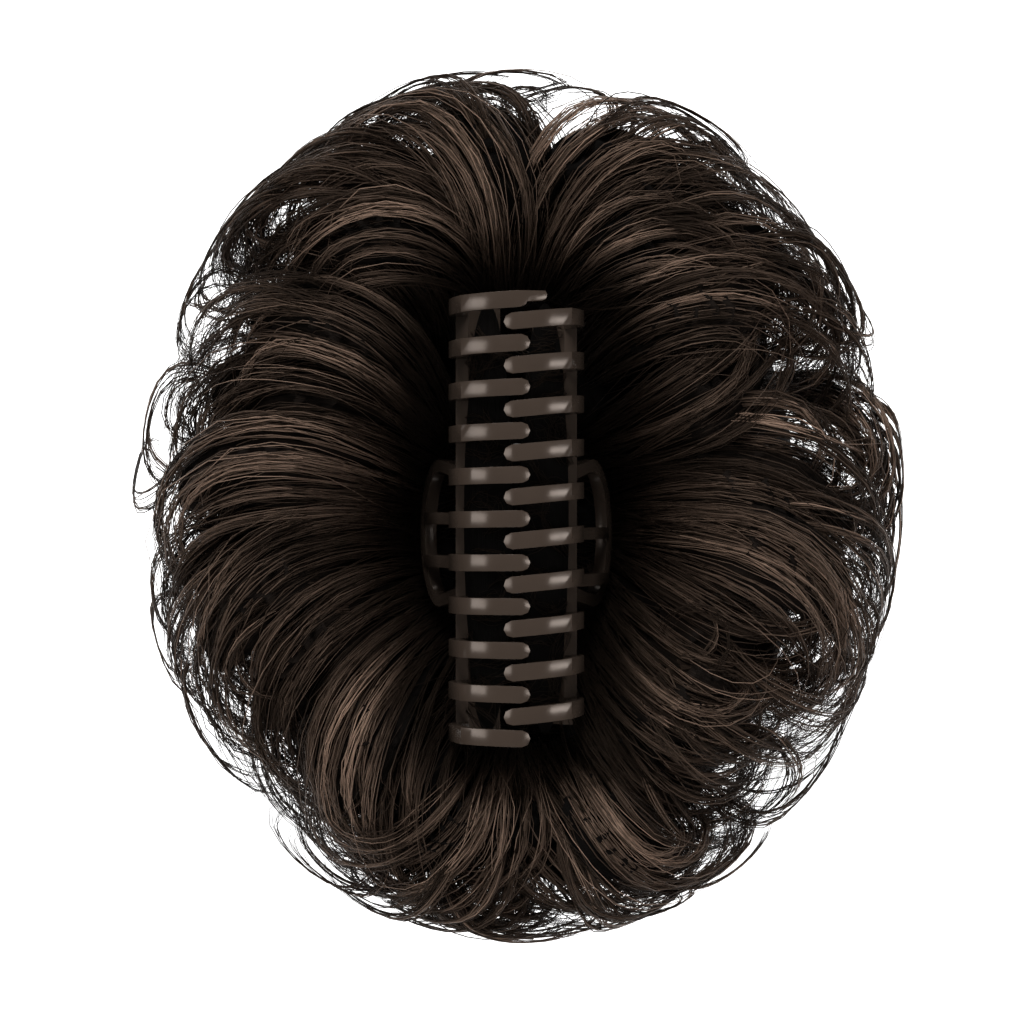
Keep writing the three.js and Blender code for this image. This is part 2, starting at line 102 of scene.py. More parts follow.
RIGHT_LOCKS = (
    (1.04, 0.12, 74, -165, 1.7, 0.92, 1, 0.82, 0.5),
    (1.07, 0.38, 62, -120, 1.2, 0.76, 1.1, 0.88, 0.55),
    (1, 0.7, 45, -70, 1.1, 0.5, 1, 0.84, 0.5),
    (0.8, 0.95, 52, -195, 1.5, 1.1, 0.9, 0.9, 0.55),
    (0.7, 0.92, 42, -90, 1.2, 0.74, 1.1, 0.86, 0.45),
    (0.33, 1.08, 20, 30, 1.1, 0.66, 1.05, 0.88, 0.6),
    (0.62, 3.6, -5, -130, 1.1, 0.56, 0.6, 0.6, 0.42),
    (0.11, 1.4, 15, -75, 1.1, 0.8, 1.15, 0.86, 0.42),
    (-0.03, 1.4, 0, -120, 1.6, 0.94, 1.1, 0.88, 0.45),
    (-0.19, 1.3, -45, 45, 1.1, 0.66, 1.1, 0.84, 0.45),
    (-0.42, 1.01, -60, 80, 1.1, 0.68, 1.1, 0.88, 0.45),
    (-0.62, 0.88, -62, 30, 1.1, 0.66, 1.1, 0.84, 0.42),
    (-1.04, 0.58, -62, 140, 2.5, 0.65, 1, 0.86, 0.5),
    (-1.06, 0.11, -78, 65, 1.1, 0.6, 1, 0.82, 0.45),
    (-1.13, -0.09, -85, -40, 1.1, 0.35, 0.9, 0.78, 0.5),
)
# Thin locks of strands alone, on the right half
RIGHT_FILL = (
    (0.42, 2.1, 14, -60, 1.1, 0.55, 0.7, 0.78, 0.5),
    (0.3, 2.4, -4, -40, 1.1, 0.5, 0.6, 0.7, 0.45),
)

# Locks narrower than this have no body, only strands
THIN_LOCK = 0.55

# No strand reaches further than this from the middle of the frame
STRAND_REACH = {"x": 72.5, "y": 81.0}
# From this share of that reach outward everything is pressed in, and the bodies of locks end here
SOFT_FROM = 0.86
BODY_REACH = 0.9

# The painted shade round the clip reaches this far from it, sideways and past its ends
SHADOW = {"beside": 18.5, "past": 11.0}

# The hollows between locks, where no light falls, painted as shade on the strands only: half lengths and
# half widths
HOLLOW_COLUMNS = ("x", "y", "heading", "length", "width")
HOLLOWS = (
    (-38, 40.4, -10, 9, 4.2),
    (-46, -6, -6, 12.5, 5),
    (36, 33.8, 5, 9, 4.6),
    (29, 52.5, 10, 7, 3.4),
)

# Half the angle that the two halves leave open below the hinge line, in degrees
GAP_HALF_ANGLE = 26.0

# The locks underneath, which fan out from beside the gap and swirl the same way on both halves
UNDER_LOCKS = 8
UNDER = {"x": 20, "y": 34, "fan": 66, "turn": 62, "reach": 0.57, "width": 1.45}
UNDER_HEIGHTS = {"root": 8.5, "crest": 6.5, "tip": 23}
# The curls that close the gap underneath, on each side of the middle
GAP_CURLS = 11
GAP = {"x": 21, "y": 58, "reach": 0.42, "width": 1.95, "turn": 70}
# The wisps on the floor of each jaw
INNER_WISPS = 26


class HairBunSettings(bpy.types.PropertyGroup):
    """Sizes and colours of the hair and of the clip"""

    strand_width: bpy.props.FloatProperty(
        name="Strand width", description="Width of a drawn strand of hair",
        default=0.23 * MM, unit="LENGTH",
    )
    flyaway_width: bpy.props.FloatProperty(
        name="Flyaway width", description="Width of a single loose hair",
        default=0.15 * MM, unit="LENGTH",
    )
    strands_per_lock: bpy.props.IntProperty(
        name="Strands per lock", description="How many strands are drawn on a lock of full width",
        default=135,
    )
    edge_round: bpy.props.FloatProperty(
        name="Edge rounding", description="Radius on the edges of the moulded jaws",
        default=0.6 * MM, unit="LENGTH",
    )
    hair_dark: bpy.props.FloatVectorProperty(
        name="Dark hair", description="Colour of the darkest strands",
        default=(0.004, 0.0024, 0.0015), subtype="COLOR", size=3,
    )
    hair_light: bpy.props.FloatVectorProperty(
        name="Light hair", description="Colour of the lightest strands",
        default=(0.268, 0.179, 0.131), subtype="COLOR", size=3,
    )
    plastic: bpy.props.FloatVectorProperty(
        name="Plastic", description="Colour of the jaws",
        default=(0.036, 0.026, 0.02), subtype="COLOR", size=3,
    )
    steel: bpy.props.FloatVectorProperty(
        name="Steel", description="Colour of the hinge pin and of its spring",
        default=(0.2, 0.19, 0.18), subtype="COLOR", size=3,
    )


# Materials


def new_material(name):
    """A material with a bare node tree, its Principled shader and its output."""
    material = bpy.data.materials.new(name)
    material.use_nodes = True
    nodes = material.node_tree.nodes
    nodes.clear()
    shader = nodes.new("ShaderNodeBsdfPrincipled")
    output = nodes.new("ShaderNodeOutputMaterial")
    material.node_tree.links.new(shader.outputs["BSDF"], output.inputs["Surface"])
    return material, shader


def put(tree, kind, **values):
    """A node with its settings, and with its inputs set or linked: spaces in their names are _."""
    node = tree.nodes.new(kind)
    for name, value in values.items():
        if hasattr(node, name):
            setattr(node, name, value)
            continue
        by_number = name.startswith("in")
        socket = node.inputs[int(name[2:]) if by_number else name.replace("_", " ")]
        if isinstance(value, bpy.types.NodeSocket):
            tree.links.new(value, socket)
        else:
            socket.default_value = value
    return node


def times(tree, first, second):
    """The product of two values."""
    return put(tree, "ShaderNodeMath", operation="MULTIPLY", in0=first, in1=second).outputs[0]


def streaks_group():
    """Fine lines that run along a lock, from its unwrapped surface."""
    found = bpy.data.node_groups.get("strand streaks")
    if found:
        return found
    group = bpy.data.node_groups.new("strand streaks", "ShaderNodeTree")
    group.interface.new_socket("Vector", in_out="INPUT", socket_type="NodeSocketVector")
    group.interface.new_socket("Strands", in_out="INPUT", socket_type="NodeSocketFloat")
    group.interface.new_socket("Wander", in_out="INPUT", socket_type="NodeSocketFloat")
    group.interface.new_socket("Tone", in_out="OUTPUT", socket_type="NodeSocketFloat")
    group.interface.new_socket("Height", in_out="OUTPUT", socket_type="NodeSocketFloat")
    start = group.nodes.new("NodeGroupInput")
    end = group.nodes.new("NodeGroupOutput")
    apart = put(group, "ShaderNodeSeparateXYZ", Vector=start.outputs["Vector"])
    along = times(group, apart.outputs["Y"], start.outputs["Wander"])
    lines = []
    for share, detail in ((1.0, 2.0), (0.14, 3.0)):
        scaled = times(group, times(group, apart.outputs["X"], start.outputs["Strands"]), share)
        place = put(group, "ShaderNodeCombineXYZ", X=scaled, Y=along)
        noise = put(
            group, "ShaderNodeTexNoise", noise_dimensions="2D",
            Vector=place.outputs[0], Scale=1.0, Detail=detail,
        )
        lines.append(noise.outputs["Fac"])
    tone = put(group, "ShaderNodeMix", data_type="FLOAT", Factor=0.45, in2=lines[0], in3=lines[1])
    sharp = put(group, "ShaderNodeMapRange", Value=tone.outputs[0], in1=0.32, in2=0.68)
    group.links.new(sharp.outputs[0], end.inputs["Tone"])
    group.links.new(lines[0], end.inputs["Height"])
    return group


def colour_between(tree, dark, light, factor):
    """A colour from dark to light as factor goes from 0 to 1."""
    mix = tree.nodes.new("ShaderNodeMix")
    mix.data_type = "RGBA"
    tree.links.new(factor, mix.inputs["Factor"])
    mix.inputs[6].default_value = (*dark, 1)
    mix.inputs[7].default_value = (*light, 1)
    return mix.outputs[2]


def lock_material(settings):
    """The body of a lock, seen between its loose strands, in the hair's colours painted far darker as the
    shade under the strands, and painted darker still near the clip.
    """
    material, shader = new_material("lock body")
    tree = material.node_tree
    unwrap = put(tree, "ShaderNodeUVMap", uv_map="UVMap")
    streaks = tree.nodes.new("ShaderNodeGroup")
    streaks.node_tree = streaks_group()
    tree.links.new(unwrap.outputs["UV"], streaks.inputs["Vector"])
    streaks.inputs["Strands"].default_value = 190
    streaks.inputs["Wander"].default_value = 2.2
    # Painted shade: the body's colours are the hair's, made far darker as the shade under the loose strands
    dark = [0.3 * value for value in settings.hair_dark]
    light = [0.045 * value for value in settings.hair_light]
    place = put(tree, "ShaderNodeTexCoord")
    apart = put(tree, "ShaderNodeSeparateXYZ", Vector=place.outputs["Object"])
    # Painted shade: the body is painted darker near the clip, darkest within 18 mm of the frame's middle
    # and clear from 34 mm out
    sideways = put(tree, "ShaderNodeMath", operation="ABSOLUTE", in0=apart.outputs["X"])
    outward = put(tree, "ShaderNodeMapRange", Value=sideways.outputs[0], in1=18 * MM, in2=34 * MM)
    tone = times(tree, streaks.outputs["Tone"], outward.outputs[0])
    tree.links.new(colour_between(tree, dark, light, tone), shader.inputs["Base Color"])
    bump = put(tree, "ShaderNodeBump", Strength=0.8, Distance=0.3 * MM, Height=streaks.outputs["Height"])
    tree.links.new(bump.outputs["Normal"], shader.inputs["Normal"])
    shader.inputs["Roughness"].default_value = 0.7
    shader.inputs["Specular IOR Level"].default_value = 0.06
    return material


def strand_material(settings):
    """Loose strands. How lit each point is, from root to tip, is kept in the mesh."""
    material, shader = new_material("strand of hair")
    tree = material.node_tree
    lit = put(tree, "ShaderNodeAttribute", attribute_name="lit")
    colour = colour_between(tree, settings.hair_dark, settings.hair_light, lit.outputs["Fac"])
    tree.links.new(colour, shader.inputs["Base Color"])
    dull = put(tree, "ShaderNodeMapRange", Value=lit.outputs["Fac"], in1=0.0, in2=0.3, in3=0.8, in4=0.34)
    tree.links.new(dull.outputs[0], shader.inputs["Roughness"])
    shader.inputs["Specular IOR Level"].default_value = 0.28
    shader.inputs["Specular Tint"].default_value = (0.75, 0.56, 0.44, 1)
    return material


def plastic_material(settings):
    """Moulded glossy plastic with the faint unevenness of its mould."""
    material, shader = new_material("moulded plastic")
    tree = material.node_tree
    place = put(tree, "ShaderNodeTexCoord")
    cloud = put(tree, "ShaderNodeTexNoise", Vector=place.outputs["Object"], Scale=160.0, Detail=3.0)
    light = [1.25 * value for value in settings.plastic]
    colour = colour_between(tree, settings.plastic, light, cloud.outputs["Fac"])
    tree.links.new(colour, shader.inputs["Base Color"])
    worn = put(tree, "ShaderNodeTexNoise", Vector=place.outputs["Object"], Scale=420.0, Detail=4.0)
    rough = put(tree, "ShaderNodeMapRange", Value=worn.outputs["Fac"], in1=0.3, in2=0.7, in3=0.17, in4=0.23)
    tree.links.new(rough.outputs[0], shader.inputs["Roughness"])
    bump = put(tree, "ShaderNodeBump", Strength=0.08, Distance=0.2 * MM, Height=cloud.outputs["Fac"])
    tree.links.new(bump.outputs["Normal"], shader.inputs["Normal"])
    shader.inputs["IOR"].default_value = 1.5
    shader.inputs["Specular Tint"].default_value = (0.84, 0.72, 0.64, 1)
    return material


def steel_material(settings):
    """Drawn steel wire with fine scratches."""
    material, shader = new_material("hinge steel")
    tree = material.node_tree
    place = put(tree, "ShaderNodeTexCoord")
    scratch = put(tree, "ShaderNodeTexNoise", Vector=place.outputs["Object"], Scale=900.0, Detail=3.0)
    dark = [0.7 * value for value in settings.steel]
    colour = colour_between(tree, dark, settings.steel, scratch.outputs["Fac"])
    tree.links.new(colour, shader.inputs["Base Color"])
    rough = put(tree, "ShaderNodeMapRange", Value=scratch.outputs["Fac"], in3=0.25, in4=0.45)
    tree.links.new(rough.outputs[0], shader.inputs["Roughness"])
    shader.inputs["Metallic"].default_value = 1.0
    return material


def shared_material(name, make, settings):
    return bpy.data.materials.get(name) or make(settings)


# Shapes


def only(obj):
    """Selects one object and nothing else."""
    bpy.ops.object.select_all(action="DESELECT")
    obj.select_set(True)
    bpy.context.view_layer.objects.active = obj


def moulded_copy(node, name, edge):
    """A CAD node's shape as a piece of its own, merged and with its edges rounded."""
    obj = bpy.data.objects.new(name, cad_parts[node].data.copy())
    bpy.context.scene.collection.objects.link(obj)
    only(obj)
    bpy.ops.mesh.customdata_custom_splitnormals_clear()
    obj.data.materials.clear()
    bpy.ops.object.mode_set(mode="EDIT")
    bpy.ops.mesh.select_all(action="SELECT")
    bpy.ops.mesh.remove_doubles(threshold=0.004 * MM)
    bpy.ops.mesh.dissolve_limited(angle_limit=math.radians(1.5))
    bpy.ops.object.mode_set(mode="OBJECT")
    if edge:
        bevel = obj.modifiers.new("edges", "BEVEL")
        bevel.width = edge
        bevel.segments = 3
        bevel.limit_method = "ANGLE"
        bevel.angle_limit = math.radians(38)
        bpy.ops.object.modifier_apply(modifier=bevel.name)
    bpy.ops.object.shade_smooth_by_angle(angle=math.radians(35))
    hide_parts(node)
    return obj


def lock_rows(rows, sign):
    """The locks of one half as dictionaries, with their roots placed in the frame."""
    for i, row in enumerate(rows):
        lock = dict(zip(LOCK_COLUMNS, row))
        lock["side"] = sign
        upper = i % 2 == (1 if sign < 0 else 0)
        # Painted shade: the lower lock of each pair is painted darker and the upper one lighter
        lock["tone"] = 1.35 if upper else 0.5
        sideways = min(1.0, abs(lock["off"]))
        past_levers = min(1.0, max(0.0, (abs(lock["at"]) - END_ROOTS_FROM) / (1 - END_ROOTS_FROM)))
        lock["x"] = CLIP_X + lock["off"] * LOCK_SPREAD
        lock["y"] = CLIP_Y + lock["at"] * CLAW_END
        beside = max(past_levers, 1 - sideways)
        lock["root"] = WELL_ROOT_HEIGHT + (ROOT_HEIGHT - WELL_ROOT_HEIGHT) * beside
        raised = RAISED if upper else -1.5 * RAISED
        lock["crest"] = lock["crest"] * PIECE_HEIGHT + raised
        lock["tip"] = lock["tip"] * PIECE_HEIGHT + raised
        lock["above"], lock["below"] = 0.46, 1.0
        yield lock


def under_rows(sign):
    """The locks of one half that lie against the floor."""
    for i in range(UNDER_LOCKS):
        share = -1 + 2 * i / (UNDER_LOCKS - 1)
        yield {
            "x": CLIP_X + sign * UNDER["x"], "y": CLIP_Y + sign * UNDER["y"] * share,
            "heading": UNDER["fan"] * share - UNDER["turn"] / 2 + (0 if sign > 0 else 180),
            "turn": UNDER["turn"], "bias": 1.2, "reach": UNDER["reach"], "width": UNDER["width"],
            "above": 0.8, "below": 0.42, "side": sign, **UNDER_HEIGHTS,
        }


def gap_rows(sign):
    """The curls of one half that reach the middle underneath, over the levers."""
    for i in range(GAP_CURLS):
        share = -1 + 2 * i / (GAP_CURLS - 1)
        twist = 1 if i % 2 else -1
        yield {
            "x": CLIP_X + sign * GAP["x"], "y": CLIP_Y + GAP["y"] * share,
            "heading": (180 if sign > 0 else 0) - twist * GAP["turn"] * 0.55,
            "turn": twist * GAP["turn"], "bias": 1.1, "reach": GAP["reach"], "width": GAP["width"],
            "root": 9, "crest": 8.5, "tip": 13, "above": 0.6, "below": 0.5,
        }


def half_width(lock, share):
    """Half a lock's width along it, in millimetres."""
    swell = np.sin(np.pi * np.clip(share * 0.62 + 0.2, 0.06, 0.94))
    narrowing = 1 - 0.35 * np.clip(share, 0, 1.1) ** 4
    return swell * narrowing * lock["width"] * LOCK_WIDTH / 2


def height_along(lock, share):
    """The height of a lock's middle line along it, in millimetres."""
    rise = np.sin(np.clip(share / CREST_AT, 0, 1) * np.pi / 2)
    past = np.clip((share - CREST_AT) / (1 - CREST_AT), 0, 1.35)
    return np.where(
        share < CREST_AT,
        lock["root"] + (lock["crest"] - lock["root"]) * rise,
        lock["crest"] + (lock["tip"] - lock["crest"]) * past**1.8,
    )


def sweep(lock, share, curl, splay=0.0):
    """Points along a lock's middle line with the directions right of it and up from it."""
    middle = (share[:, 1:] + share[:, :-1]) / 2
    first = share[:, :1] / 2

    def heading(at):
        late = np.clip((at - CURL_FROM) / (1 - CURL_FROM), 0, None) ** 1.5
        aside = np.reshape(splay, (-1, 1)) * np.cos(np.pi * at)
        turned = lock["turn"] * at ** lock["bias"] + curl[:, None] * late
        return np.radians(lock["heading"] + turned + aside)

    angles = np.concatenate([heading(first), heading(middle)], axis=1)
    stride = np.concatenate([share[:, :1], np.diff(share, axis=1)], axis=1) * lock["reach"] * LOCK_LENGTH
    x = lock["x"] + np.cumsum(np.cos(angles) * stride, axis=1)
    y = lock["y"] + np.cumsum(np.sin(angles) * stride, axis=1)
    line = np.stack([x, y, height_along(lock, share)], axis=2)
    facing = heading(share)
    right = np.stack([np.sin(facing), -np.cos(facing), np.zeros_like(facing)], axis=2)
    along = np.gradient(line, axis=1)
    along /= np.linalg.norm(along, axis=2, keepdims=True) + 1e-9
    return line, right, np.cross(right, along)


def lock_body(name, lock, end=0.7, sides=24, rings=30):
    """The body of a lock: a sphere drawn out along the lock's path, with shallow grooves."""
    bpy.ops.object.select_all(action="DESELECT")
    bpy.ops.mesh.primitive_uv_sphere_add(segments=sides, ring_count=rings, radius=1)
    obj = bpy.context.object
    obj.name = name
    count = len(obj.data.vertices)
    ball = np.empty(count * 3)
    obj.data.vertices.foreach_get("co", ball)
    ball = ball.reshape(-1, 3)
    along = np.arccos(np.clip(ball[:, 2], -1, 1)) / np.pi
    around = np.arctan2(ball[:, 1], ball[:, 0])
    order = np.argsort(along)
    share = (along[order] * end)[None, :]
    line, right, up = sweep(lock, share, np.zeros(1))
    closing = np.sqrt(np.clip(1 - np.clip(1 - along / 0.08, 0, 1) ** 2, 0, 1))
    closing *= np.sqrt(np.clip(1 - np.clip((along - 0.5) / 0.5, 0, 1) ** 2.4, 0, 1))
    groove = 1 + 0.05 * np.sin(9 * around + lock["heading"] + 4 * along)
    groove += 0.03 * np.sin(5 * around - 7 * along)
    half = half_width(lock, along * end) * closing * groove * 0.94
    depth = np.where(np.sin(around) > 0, lock["above"], lock["below"])
    placed = np.empty((count, 3))
    placed[order] = (
        line[0]
        + right[0] * (np.cos(around) * half)[order, None]
        + up[0] * (np.sin(around) * half * depth)[order, None]
    )
    placed = pressed_in(placed, BODY_REACH)
    if lock["root"] < ROOT_HEIGHT:
        placed[:, 2] = np.minimum(placed[:, 2], well_top(placed[:, 0], placed[:, 1]))
    placed[:, 2] = np.maximum(placed[:, 2], 0.6)
    if "side" in lock:
        placed = out_of_the_gap(placed, lock["side"])
    obj.data.vertices.foreach_set("co", (placed * MM).ravel())
    only(obj)
    bpy.ops.object.mode_set(mode="EDIT")
    bpy.ops.mesh.select_all(action="SELECT")
    bpy.ops.mesh.normals_make_consistent(inside=False)
    bpy.ops.object.mode_set(mode="OBJECT")
    bpy.ops.object.shade_smooth()
    return obj


def core_body(name, sign):
    """The dark bulk that the locks of one half lie round."""
    bpy.ops.object.select_all(action="DESELECT")
    bpy.ops.mesh.primitive_uv_sphere_add(segments=40, ring_count=24, radius=1)
    obj = bpy.context.object
    obj.name = name
    obj.scale = (28 * MM, 54 * MM, 14.5 * MM)
    obj.location = ((CLIP_X + sign * 26) * MM, CLIP_Y * MM, 15.5 * MM)
    bpy.ops.object.transform_apply(location=True, rotation=False, scale=True)
    keep_well_clear(obj)
    ball = np.empty(len(obj.data.vertices) * 3)
    obj.data.vertices.foreach_get("co", ball)
    ball = out_of_the_gap(ball.reshape(-1, 3) / MM, sign) * MM
    obj.data.vertices.foreach_set("co", ball.ravel())
    bpy.ops.object.shade_smooth()
    return obj


def inner_pad(name, sign):
    """The dark hair that lies on the floor of one jaw, inside the claw."""
    bpy.ops.object.select_all(action="DESELECT")
    bpy.ops.mesh.primitive_uv_sphere_add(segments=16, ring_count=60, radius=1)
    obj = bpy.context.object
    obj.name = name
    obj.rotation_euler = (math.pi / 2, 0, 0)
    obj.scale = (4.7 * MM, 2.2 * MM, (CLAW_END - 1.2) * MM)
    obj.location = ((CLIP_X + sign * 5.3) * MM, CLIP_Y * MM, (HINGE_HEIGHT + 6.4) * MM)
    bpy.ops.object.transform_apply(location=True, rotation=True, scale=True)
    bpy.ops.object.shade_smooth()
    return obj


def inner_rows(sign, rng):
    """Short wisps that lie across the floor of one jaw, inside the claw."""
    for i in range(INNER_WISPS):
        share = -1 + 2 * (i + 0.5) / INNER_WISPS
        yield {
            "x": CLIP_X + sign * rng.uniform(7, 9.6), "y": CLIP_Y + (CLAW_END - 5) * share,
            "heading": (180 if sign > 0 else 0) + rng.normal(0, 40),
            "turn": rng.normal(0, 60), "bias": 1,
            "reach": rng.uniform(0.08, 0.17), "width": rng.uniform(0.12, 0.3),
            "root": HINGE_HEIGHT + 7.5, "crest": HINGE_HEIGHT + rng.uniform(8.2, 9.6),
            "tip": HINGE_HEIGHT + rng.uniform(6.8, 9), "above": 0.4, "below": 0.3,
        }


def well_top(x, y):
    """The height that hair keeps under, above the levers and round them."""
    far = np.hypot(x - CLIP_X, y - CLIP_Y - WELL["y"])
    return WELL["floor"] + WELL["slope"] * np.maximum(0, far - WELL["radius"])


def out_of_the_gap(points, side):
    """Points of one half, pressed out of the gap that opens below the hinge line."""
    gap = np.maximum(0, HINGE_HEIGHT - points[..., 2]) * math.tan(math.radians(GAP_HALF_ANGLE))
    placed = points.copy()
    placed[..., 0] = CLIP_X + side * np.maximum(side * (points[..., 0] - CLIP_X), gap)
    return np.where((points[..., 2] < HINGE_HEIGHT)[..., None], placed, points)


def keep_well_clear(obj):
    """Presses a piece down where it would stand over the levers."""
    for vertex in obj.data.vertices:
        top = well_top(vertex.co.x / MM, vertex.co.y / MM)
        vertex.co.z = min(vertex.co.z, float(top) * MM)


def joined(objects, name):
    """Several objects as one."""
    bpy.ops.object.select_all(action="DESELECT")
    for obj in objects:
        obj.select_set(True)
    bpy.context.view_layer.objects.active = objects[0]
    bpy.ops.object.join()
    objects[0].name = name
    return objects[0]


# Strands


def smooth_step(low, high, value):
    """0 below low, 1 above high, and a smooth rise between them."""
    share = np.clip((value - low) / (high - low), 0, 1)
    return share * share * (3 - 2 * share)


def out_of_the_dark(line):
    """How far points are out of the shadow round the clip: 0 in it, 1 outside it."""
    beside = np.maximum(np.abs(line[..., 0] - CLIP_X) - CLAW_SIDE, 0) / SHADOW["beside"]
    past = np.maximum(np.abs(line[..., 1] - CLIP_Y) - CLAW_END, 0) / SHADOW["past"]
    return smooth_step(0.3, 1.0, np.hypot(beside, past))


def out_of_the_hollows(line):
    """How much light reaches points in the hollows between the locks: 1 outside them."""
    clear = np.ones(line.shape[:-1])
    for row in HOLLOWS:
        hollow = dict(zip(HOLLOW_COLUMNS, row))
        turn = math.radians(hollow["heading"])
        x, y = line[..., 0] - hollow["x"], line[..., 1] - hollow["y"]
        along = (x * math.cos(turn) + y * math.sin(turn)) / hollow["length"]
        across = (y * math.cos(turn) - x * math.sin(turn)) / hollow["width"]
        clear *= 1 - 0.9 * np.exp(-1.2 * (along**2 + across**2))
    return clear


def reach_of(line):
    """How far points are from the middle, as shares of the furthest reach."""
    return np.hypot(line[..., 0] / STRAND_REACH["x"], line[..., 1] / STRAND_REACH["y"])


def drawn_in(line):
    """Strands that would reach too far, shortened towards their roots and then pressed in."""
    over = np.maximum(reach_of(line).max(axis=1), 1)
    root = line[:, :1]
    drawn = root + (line - root) / over[:, None, None]
    drawn[..., 2] = line[..., 2]
    return pressed_in(drawn, 1)


def pressed_in(points, limit):
    """The same points, with those near the furthest reach pressed in to within a share of it."""
    soft = SOFT_FROM * limit
    far = reach_of(points)
    pressed = soft + (limit - soft) * np.tanh((far - soft) / (limit - soft))
    placed = points.copy()
    placed[..., :2] *= np.where(far > soft, pressed / far, 1)[..., None]
    return placed


def stray(rng, count, size, waves, share):
    """A small sideways wave of its own along each strand."""
    sizes = rng.normal(0, size, count)[:, None]
    return sizes * np.sin(share * waves + rng.uniform(0, 6.28, count)[:, None])


def strands_on(lock, count, rng, steps=14, levels=(0.35, 1.12), wild=0.1, lengths=(0.85, 1.25), curl=75):
    """The middle lines of a lock's strands, in clumps that part and cross, and how lit each point is."""
    clumps = max(2, int(round(6 * lock["width"])))
    clump_across = (np.arange(clumps) + 0.5) / clumps * 2 - 1 + rng.uniform(-0.12, 0.12, clumps)
    clump_turn = math.copysign(1, lock["turn"]) * rng.normal(curl, curl * 0.6, clumps)
    clump_end = rng.uniform(*lengths, clumps)
    clump_lift = rng.normal(0, 1.7, clumps)
    clump_splay = rng.normal(0, 7, clumps)
    clump_phase = rng.uniform(0, 2 * np.pi, clumps)
    clump_tone = rng.uniform(0.35, 1.5, clumps)
    clump_shine = rng.normal(0.48, 0.12, clumps)
    loose = rng.random(count) < wild
    across = rng.uniform(-1.0, 1.0, count)
    # a strand belongs to the clump that is nearest to it
    apart = np.abs(across[:, None] - clump_across[None, :])
    clump = apart.argmin(axis=1)
    ends = clump_end[clump] * rng.uniform(0.9, 1.06, count)
    turn = clump_turn[clump] + rng.normal(0, 9, count) + loose * rng.normal(0, 60, count)
    splay = clump_splay[clump] + rng.normal(0, 1.5, count) + loose * rng.normal(0, 8, count)
    lift = clump_lift[clump] + rng.normal(0, 0.4, count) + loose * rng.uniform(0, 2.5, count)
    level = rng.uniform(*levels, count)
    share = np.linspace(0, 1, steps)[None, :] * ends[:, None]
    line, right, up = sweep(lock, share, turn, splay)
    pull = 0.3 + 0.5 * np.clip(share, 0, 1) ** 1.2
    aim = clump_across[clump][:, None] * (1 + 0.35 * share**2)
    spot = across[:, None] * (1 - pull) + aim * pull
    spot = spot + stray(rng, count, 0.05, 9, share)
    half = half_width(lock, share)
    dome = np.sqrt(np.clip(1 - np.clip(spot, -1, 1) ** 2, 0.02, 1))
    depth = np.where(level > 0, lock["above"], lock["below"])[:, None]
    rise = level[:, None] * half * depth * dome + lift[:, None] * np.clip(share * 1.5, 0, 1) ** 1.5
    wave = np.sin(share * 7 + clump_phase[clump][:, None]) * 0.9 * share
    wave = wave + stray(rng, count, 0.35, 12, share)
    line = line + right * (spot * half + wave)[..., None] + up * rise[..., None]
    line = drawn_in(line)
    if lock["root"] < ROOT_HEIGHT:
        top = well_top(line[..., 0], line[..., 1]) + level[:, None] * 2
        line[..., 2] = np.minimum(line[..., 2], top)
    line[..., 2] = np.maximum(line[..., 2], 0.7)
    if "side" in lock:
        line = out_of_the_gap(line, lock["side"])
    # Painted light and shade: besides a random tone per strand and per clump, strands are painted darker at
    # the edges of their clump, low in the lock, on its sides and towards their tips, with a painted sheen
    # partway along each clump, then multiplied by the lock's tone (painted shade between upper and lower
    # locks, a random tone for bands), the painted shadow round the clip and the painted shade in the
    # hollows
    lit = rng.beta(6, 7, count) * clump_tone[clump] * (1 - 0.75 * (apart.min(axis=1) * clumps) ** 2)
    sheen = 0.55 + 0.75 * np.exp(-(((share - clump_shine[clump][:, None]) / 0.18) ** 2))
    lit *= 0.3 + 0.8 * smooth_step(0.35, 1.0, level)
    lit = lit[:, None] * (0.15 + 0.85 * dome) * sheen * (1 - 0.45 * smooth_step(0.75, 1.05, share))
    return line, lit * lock.get("tone", 1) * out_of_the_dark(line) * out_of_the_hollows(line)


def part_way(lock, start, side):
    """The place on a lock at a share of its length and to one side, and its heading there."""
    line, right, _ = sweep(lock, np.linspace(0, start, 12)[None, :], np.zeros(1))
    place = line[0, -1] + right[0, -1] * side * half_width(lock, np.array(start))
    return place, lock["heading"] + lock["turn"] * start ** lock["bias"]


def cross_bands(lock, count, rng):
    """Flat bands of strands that leave a lock's middle and lie over its neighbours."""
    turning = math.copysign(1, lock["turn"])
    for _ in range(count):
        place, along = part_way(lock, rng.uniform(0.2, 0.42), rng.uniform(-0.8, 0.8))
        yield {
            "x": place[0], "y": place[1], "heading": along - turning * rng.uniform(-8, 32),
            "turn": turning * rng.uniform(50, 150), "bias": 1.1,
            "reach": rng.uniform(0.42, 0.68), "width": rng.uniform(0.28, 0.5),
            "root": place[2] - 2, "crest": place[2] + rng.uniform(2.5, 5), "tip": lock["tip"],
            "above": 0.3, "below": 0.3, "tone": rng.uniform(0.6, 1.35), "side": lock["side"],
        }


def tip_curls(lock, count, rng):
    """Small locks that leave a lock near its tip and curl right round."""
    turning = math.copysign(1, lock["turn"])
    for _ in range(count):
        place, along = part_way(lock, rng.uniform(0.35, 0.72), rng.uniform(-0.9, 0.9))
        way = turning if rng.random() < 0.72 else -turning
        root = float(place[2]) - 1
        yield {
            "x": place[0], "y": place[1], "heading": along - way * rng.uniform(5, 50),
            "turn": way * rng.uniform(150, 350), "bias": rng.uniform(0.8, 1.5),
            "reach": 0.24 + 0.7 * rng.beta(1.4, 2.2), "width": rng.uniform(0.1, 0.26),
            "root": root, "crest": root * rng.uniform(0.8, 1.0), "tip": root * rng.uniform(0.25, 0.6),
            "above": 0.6, "below": 0.6, "side": lock["side"],
        }


